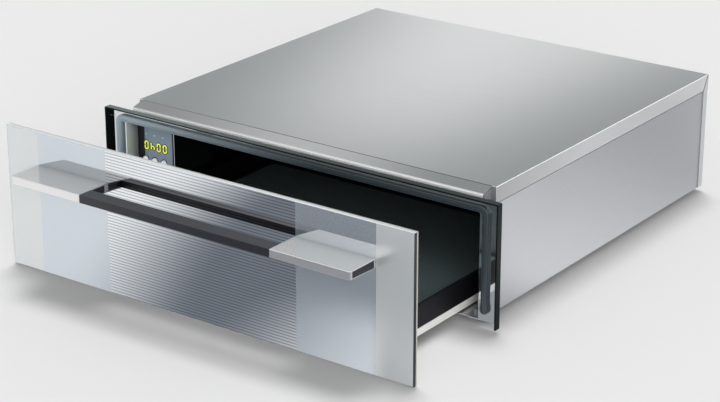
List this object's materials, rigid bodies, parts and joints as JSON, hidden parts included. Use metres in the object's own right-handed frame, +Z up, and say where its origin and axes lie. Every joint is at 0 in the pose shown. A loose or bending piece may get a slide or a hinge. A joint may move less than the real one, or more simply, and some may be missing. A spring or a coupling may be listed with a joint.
{
  "type": "built-in warming drawer",
  "caption": "Built-in warming drawer with a striped glass front, bar handle, heated tray on runners and a timer panel inside.",
  "frame": {"origin": "on the shelf the feet stand on, in the middle of the whole drawer's footprint as it stands part open", "axes": "+Y from the glass front to the back, +X to the right of a person facing it, +Z up"},
  "size_m": [0.597, 0.7764, 0.181],
  "materials": {
    "backing_steel": "satin grey painted steel",
    "black_plastic": "black heat-resistant moulding",
    "board_green": "green circuit laminate",
    "buffer_rubber": "moulded black rubber",
    "button_white": "white moulding",
    "cover_steel": "satin stainless steel",
    "display_lit": "lit yellow-green figures",
    "element_steel": "heat-tinted steel sheath",
    "fan_aluminium": "pressed aluminium",
    "fascia_plastic": "blue-grey moulding with a printed black border",
    "fastener_zinc": "zinc-plated steel",
    "frame_polished": "polished stainless steel",
    "front_glass": "back-printed toughened glass with mirror, pale blue and striped bands",
    "galvanised_sheet": "galvanised steel sheet with fine spangle",
    "guide_plastic": "grey low-friction moulding",
    "gusset_grey": "grey sheet",
    "handle_aluminium": "satin anodised aluminium",
    "handle_dark": "dark grey satin moulding",
    "lens_clear": "pale translucent lenses",
    "liner_enamel": "black heat-resistant enamel",
    "magnet_ferrite": "sintered ferrite",
    "mat_rubber": "ribbed anti-slip rubber",
    "mineral_wool": "pressed mineral wool",
    "motor_steel": "zinc-plated motor can",
    "rail_paint": "cream-white powder coat",
    "runner_zinc": "bright zinc-plated steel",
    "seal_rubber": "blue-grey silicone",
    "terminal_plastic": "cream ceramic-filled moulding",
    "tray_paint": "dark blue-black powder coat",
    "trim_gloss": "gloss dark green-grey extrusion"
  },
  "bodies": {
    "casing": {"air_baffle": "liner_enamel", "air_temperature_probe": "element_steel", "back_panel": "galvanised_sheet", "base_panel": "galvanised_sheet", "cable_gland": "black_plastic", "casing_insulation": "mineral_wool", "casing_screws": "fastener_zinc", "closed_switch": "black_plastic", "control_board": "board_green", "control_fascia": "fascia_plastic", "control_housing": "black_plastic", "control_shield": "galvanised_sheet", "corner_gussets": "gusset_grey", "display_figures": "display_lit", "door_seal": "seal_rubber", "drawer_guides": "guide_plastic", "fan_motor": "motor_steel", "fan_mount": "galvanised_sheet", "feet": "buffer_rubber", "frame_left": "frame_polished", "frame_right": "frame_polished", "frame_top_member": "frame_polished", "frame_trim": "trim_gloss", "heating_element": "element_steel", "indicator_lenses": "lens_clear", "liner_left": "liner_enamel", "liner_right": "liner_enamel", "liner_roof": "liner_enamel", "runner_end_buffers": "buffer_rubber", "runner_fixed_profiles": "runner_zinc", "safety_thermostat": "terminal_plastic", "side_panel_left": "galvanised_sheet", "side_panel_right": "galvanised_sheet", "tact_switches": "black_plastic", "terminal_block": "terminal_plastic", "top_cover": "cover_steel"},
    "drawer": {"glass_front": "front_glass", "glass_backing": "backing_steel", "handle_plate_right": "handle_aluminium", "handle_plate_left": "handle_aluminium", "handle_end_caps": "handle_dark", "handle_bar": "handle_dark", "handle_screws": "fastener_zinc", "front_shell": "galvanised_sheet", "front_insulation": "mineral_wool", "tray_wall_right": "tray_paint", "tray_wall_left": "tray_paint", "tray_wall_rear": "tray_paint", "tray_floor": "tray_paint", "anti_slip_mat": "mat_rubber", "tray_skirts": "rail_paint", "runner_inner_profiles": "runner_zinc", "switch_magnet": "magnet_ferrite"},
    "runner_right": {"runner_middle_right": "runner_zinc"},
    "runner_left": {"runner_middle_left": "runner_zinc"},
    "fan_rotor": {"fan_wheel": "fan_aluminium", "fan_shaft": "runner_zinc"},
    "button_down": {"button_down": "button_white"},
    "button_mode": {"button_mode": "button_white"},
    "button_up": {"button_up": "button_white"}
  },
  "joints": [
    {"name": "drawer_slide", "type": "slide", "parent": "casing", "child": "drawer", "axis": [0, -1, 0], "range_m": [-0.1615, 0.2585]},
    {"name": "runner_right_slide", "type": "slide", "parent": "casing", "child": "runner_right", "axis": [0, -1, 0], "range_m": [-0.08075, 0.12925]},
    {"name": "runner_left_slide", "type": "slide", "parent": "casing", "child": "runner_left", "axis": [0, -1, 0], "range_m": [-0.08075, 0.12925]},
    {"name": "fan_spin", "type": "hinge", "parent": "casing", "child": "fan_rotor", "pos_m": [0, 0.30625, 0.076], "axis": [0, 1, 0], "continuous": true},
    {"name": "button_down_press", "type": "slide", "parent": "casing", "child": "button_down", "axis": [0, 1, 0], "range_m": [0, 0.0008], "stiffness_N_per_m": 300, "springref_m": -0.001},
    {"name": "button_mode_press", "type": "slide", "parent": "casing", "child": "button_mode", "axis": [0, 1, 0], "range_m": [0, 0.0008], "stiffness_N_per_m": 300, "springref_m": -0.001},
    {"name": "button_up_press", "type": "slide", "parent": "casing", "child": "button_up", "axis": [0, 1, 0], "range_m": [0, 0.0008], "stiffness_N_per_m": 300, "springref_m": -0.001}
  ],
  "couplings": [
    {"joint": "runner_right_slide", "follows": "drawer_slide", "ratio": 0.5},
    {"joint": "runner_left_slide", "follows": "drawer_slide", "ratio": 0.5}
  ]
}
